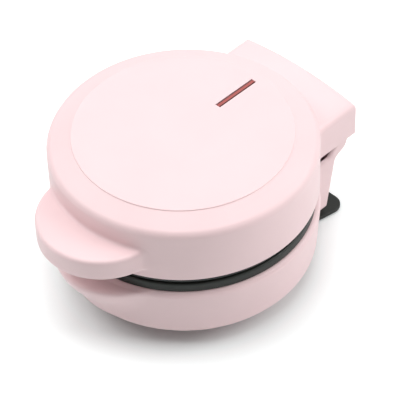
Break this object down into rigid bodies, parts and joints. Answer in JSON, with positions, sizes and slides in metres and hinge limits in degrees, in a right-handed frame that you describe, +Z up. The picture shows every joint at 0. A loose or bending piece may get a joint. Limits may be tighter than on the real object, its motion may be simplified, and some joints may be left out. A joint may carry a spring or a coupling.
{
  "type": "mini waffle maker",
  "caption": "Small round waffle maker with a hinged lid, round handle tab, hinge hood, studded non-stick plates and a foot plate that a cord can be wound under.",
  "frame": {"origin": "centre of the overall bounding box at the plane that the rubber feet stand on", "axes": "+Z up, +Y towards the hinge at the back, -Y towards the handle, +X to the right of someone who faces the handle"},
  "size_m": [0.1282, 0.1635, 0.0784],
  "materials": {
    "pink_plastic": "satin moulded pink plastic",
    "black_plastic": "satin moulded black plastic",
    "coated_plate": "cast aluminium with a dark non-stick coating",
    "bright_steel": "bright steel",
    "dark_rubber": "matt dark rubber",
    "brown_phenolic": "brown phenolic moulding",
    "red_lens": "dark red translucent lens",
    "lamp_glass": "clear lamp glass"
  },
  "bodies": {
    "base": {"base_shell": "pink_plastic", "base_trim_ring": "black_plastic", "cord_wrap_foot": "black_plastic", "terminal_block": "black_plastic", "lower_waffle_plate": "coated_plate", "lower_heating_element": "bright_steel", "lower_element_clamp": "bright_steel", "lower_clamp_screw": "bright_steel", "lower_heat_shield": "bright_steel", "thermal_fuse": "bright_steel", "thermostat": "brown_phenolic", "hinge_pin_left": "bright_steel", "hinge_pin_right": "bright_steel", "cord_gland": "dark_rubber", "hinge_wire_sleeve": "dark_rubber", "rubber_foot_rear_left": "dark_rubber", "rubber_foot_rear_right": "dark_rubber", "rubber_foot_front_left": "dark_rubber", "rubber_foot_front_right": "dark_rubber", "base_screw_1": "bright_steel", "base_screw_2": "bright_steel", "base_screw_3": "bright_steel", "base_screw_4": "bright_steel", "wrap_screw_1": "bright_steel", "wrap_screw_2": "bright_steel"},
    "lid": {"lid_shell": "pink_plastic", "handle_cover": "pink_plastic", "lid_trim_ring": "black_plastic", "lamp_holder": "black_plastic", "upper_waffle_plate": "coated_plate", "upper_heating_element": "bright_steel", "upper_element_clamp": "bright_steel", "upper_clamp_screw": "bright_steel", "upper_heat_shield": "bright_steel", "indicator_window": "red_lens", "indicator_lamp": "lamp_glass", "lid_screw_1": "bright_steel", "lid_screw_2": "bright_steel", "lid_screw_3": "bright_steel", "lid_screw_4": "bright_steel"}
  },
  "joints": [
    {"name": "lid_hinge", "type": "hinge", "parent": "base", "child": "lid", "pos_m": [0, 0.0722, 0.0427], "axis": [-1, 0, 0], "range_deg": [0, 98]}
  ]
}
